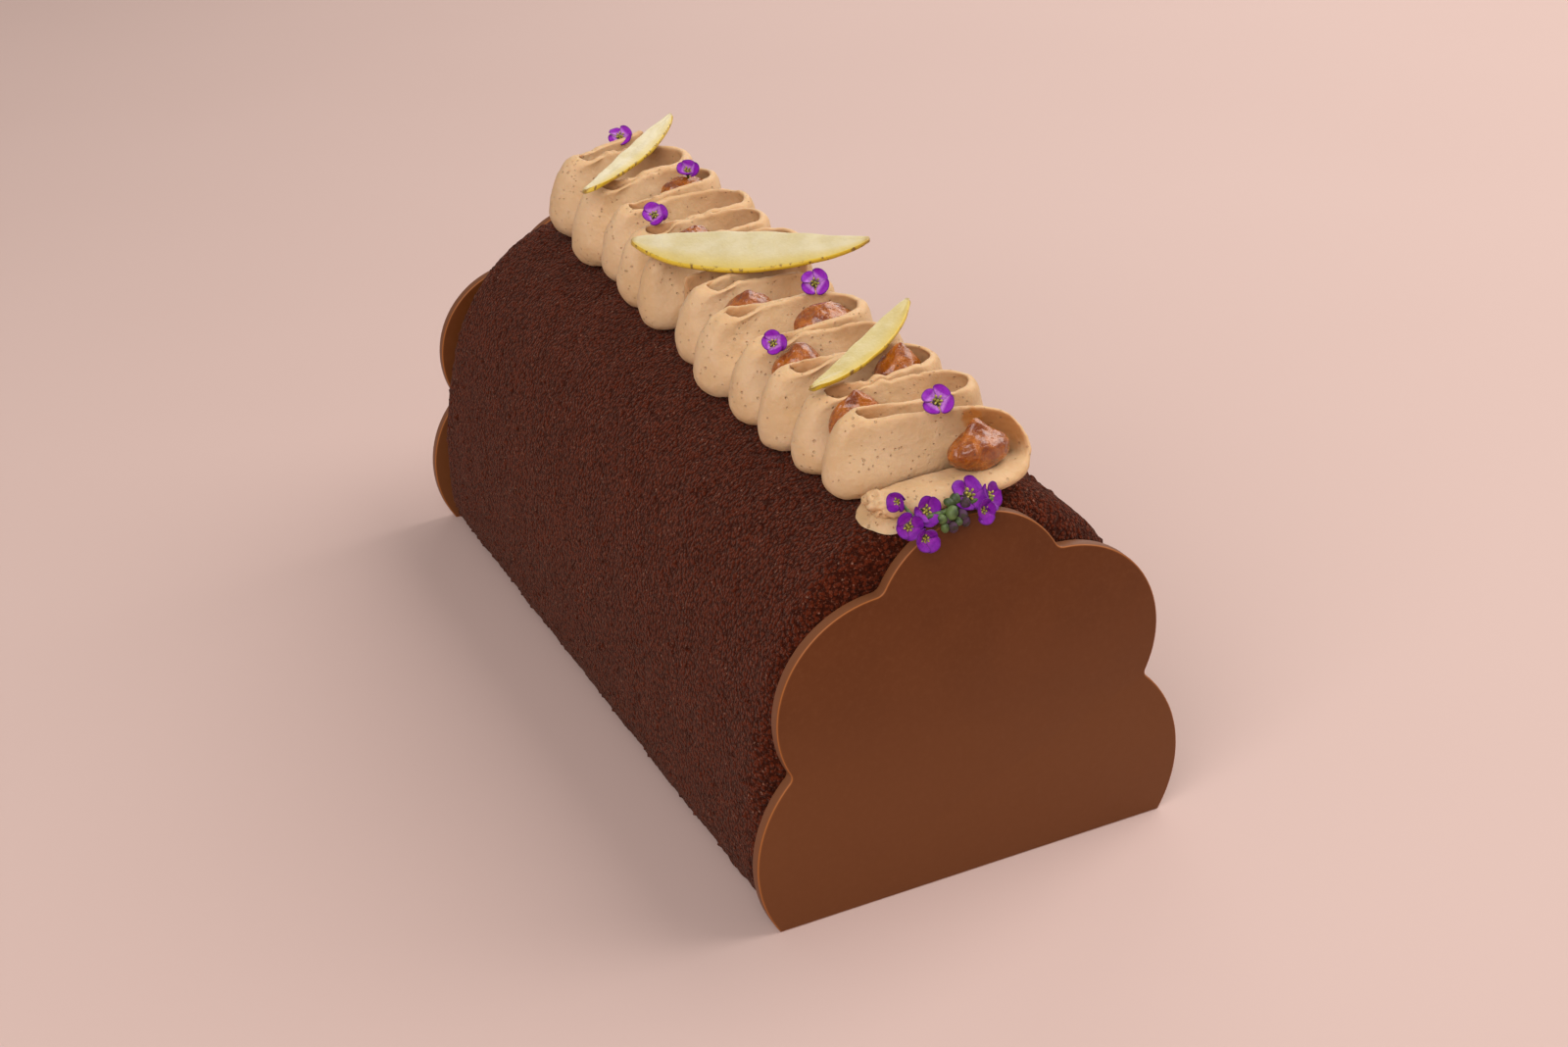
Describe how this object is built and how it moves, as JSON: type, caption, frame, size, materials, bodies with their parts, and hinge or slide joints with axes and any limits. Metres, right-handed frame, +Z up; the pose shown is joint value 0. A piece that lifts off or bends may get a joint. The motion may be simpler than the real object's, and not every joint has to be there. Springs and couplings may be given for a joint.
{
  "type": "yule log",
  "caption": "Yule log cake: arched chocolate log between scalloped chocolate end plaques, topped with a piped cream ruffle, caramel dots, pear slices and small flowers",
  "frame": {"origin": "on the flat base, at the middle of the footprint over both plaques", "axes": "+Y along the log from the front plaque to the back plaque, +X across the log to the right seen from the front, +Z up"},
  "size_m": [0.0896, 0.2038, 0.0994],
  "materials": {
    "log_sponge": "matte, sprayed velvet grain",
    "milk_chocolate": "satin, smooth moulded",
    "whipped_cream": "soft satin",
    "caramel": "glossy",
    "pear": "moist satin",
    "flower_petal": "matte petals"
  },
  "bodies": {
    "root": {"log_body": "log_sponge", "end_plaque_front": "milk_chocolate", "end_plaque_back": "milk_chocolate", "cream_run_back": "whipped_cream", "cream_run_front": "whipped_cream", "caramel_dot_1": "caramel", "caramel_dot_2": "caramel", "caramel_dot_3": "caramel", "caramel_dot_4": "caramel", "caramel_dot_5": "caramel", "caramel_dot_6": "caramel", "caramel_dot_7": "caramel", "caramel_dot_8": "caramel", "pear_slice_1": "pear", "pear_slice_2": "pear", "pear_slice_3": "pear", "flower_1": "flower_petal", "flower_2": "flower_petal", "flower_3": "flower_petal", "flower_4": "flower_petal", "flower_5": "flower_petal", "flower_6": "flower_petal", "flower_sprig": "flower_petal"}
  },
  "joints": []
}
